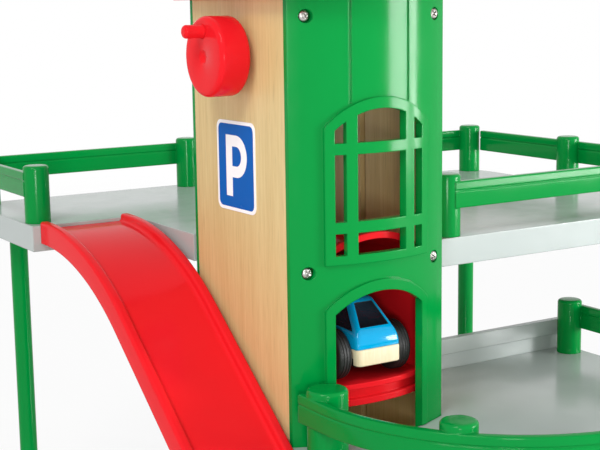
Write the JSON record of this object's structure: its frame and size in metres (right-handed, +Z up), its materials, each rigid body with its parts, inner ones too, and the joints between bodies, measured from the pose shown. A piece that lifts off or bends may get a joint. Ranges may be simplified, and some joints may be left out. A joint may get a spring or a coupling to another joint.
{
  "type": "toy parking garage with lift",
  "caption": "Toy parking garage: a wood-sided tower with a hand-cranked lift, two railed decks, a long curved ramp and a small toy car.",
  "frame": {"origin": "middle of the tower's footprint, on the floor plane under the base", "axes": "+Z up, +X to the right of the tower seen from its doors, the lift's doors face -Y"},
  "size_m": [0.397, 0.486, 0.372],
  "materials": {
    "green_plastic": "glossy moulded",
    "red_plastic": "glossy moulded",
    "grey_plastic": "glossy moulded",
    "column_plastic": "glossy moulded",
    "beech_wood": "satin lacquer",
    "zinc_steel": "zinc plated",
    "sign_vinyl": "printed film",
    "black_plastic": "satin moulded",
    "white_cord": "braided",
    "blue_plastic": "glossy lacquer",
    "birch_wood": "fine sanded",
    "tyre_rubber": "satin",
    "hub_plastic": "glossy moulded"
  },
  "bodies": {
    "garage": {"back_cover": "green_plastic", "back_cover_screws": "zinc_steel", "bush_left": "black_plastic", "bush_right": "black_plastic", "column_lower_1": "column_plastic", "column_lower_2": "column_plastic", "column_lower_3": "column_plastic", "column_upper_1": "column_plastic", "column_upper_2": "column_plastic", "column_upper_3": "column_plastic", "column_upper_4": "column_plastic", "deck_lower": "grey_plastic", "deck_upper": "grey_plastic", "front_cover": "green_plastic", "front_cover_screws": "zinc_steel", "ground_plate": "grey_plastic", "parapet": "grey_plastic", "parking_sign": "sign_vinyl", "railing_end_upper": "green_plastic", "railing_front_lower": "green_plastic", "railing_front_upper": "green_plastic", "railing_left_upper": "green_plastic", "railing_rear_left": "green_plastic", "railing_rear_right": "green_plastic", "railing_side_lower": "green_plastic", "ramp": "red_plastic", "roof_cap": "red_plastic", "roof_screws": "zinc_steel", "side_panel_left": "beech_wood", "side_panel_right": "beech_wood"},
    "lift": {"lift_cabin": "red_plastic", "cord_anchor": "red_plastic", "lift_cord": "white_cord"},
    "crank": {"crank_knob": "red_plastic", "crank_handle": "red_plastic", "winch_axle": "zinc_steel", "cord_drum": "black_plastic", "cord_winding": "white_cord"},
    "toy_car": {"car_chassis": "black_plastic", "car_body": "blue_plastic", "car_bumper": "birch_wood"},
    "front_wheels": {"car_front_axle": "zinc_steel", "car_front_tyres": "tyre_rubber", "car_front_hubs": "hub_plastic"},
    "rear_wheels": {"car_rear_axle": "zinc_steel", "car_rear_tyres": "tyre_rubber", "car_rear_hubs": "hub_plastic"}
  },
  "joints": [
    {"name": "lift_slide", "type": "slide", "parent": "garage", "child": "lift", "axis": [0, 0, 1], "range_m": [-0.13, 0.07], "deforming": ["lift_cord"]},
    {"name": "crank_turn", "type": "hinge", "parent": "garage", "child": "crank", "pos_m": [-0.06, -0.0025, 0.322], "axis": [1, 0, 0], "range_deg": [-732, 395]},
    {"name": "car_roll", "type": "slide", "parent": "lift", "child": "toy_car", "axis": [0, 1, 0], "range_m": [0, 0.04]},
    {"name": "front_wheel_spin", "type": "hinge", "parent": "toy_car", "child": "front_wheels", "pos_m": [0.002, -0.043, 0.1603], "axis": [1, 0, 0], "range_deg": [-164, 0]},
    {"name": "rear_wheel_spin", "type": "hinge", "parent": "toy_car", "child": "rear_wheels", "pos_m": [0.002, 0.001, 0.1603], "axis": [1, 0, 0], "range_deg": [-164, 0]}
  ],
  "couplings": [
    {"joint": "crank_turn", "follows": "lift_slide", "rad_per_m": 98.039},
    {"joint": "front_wheel_spin", "follows": "car_roll", "rad_per_m": -71.429},
    {"joint": "rear_wheel_spin", "follows": "car_roll", "rad_per_m": -71.429}
  ]
}
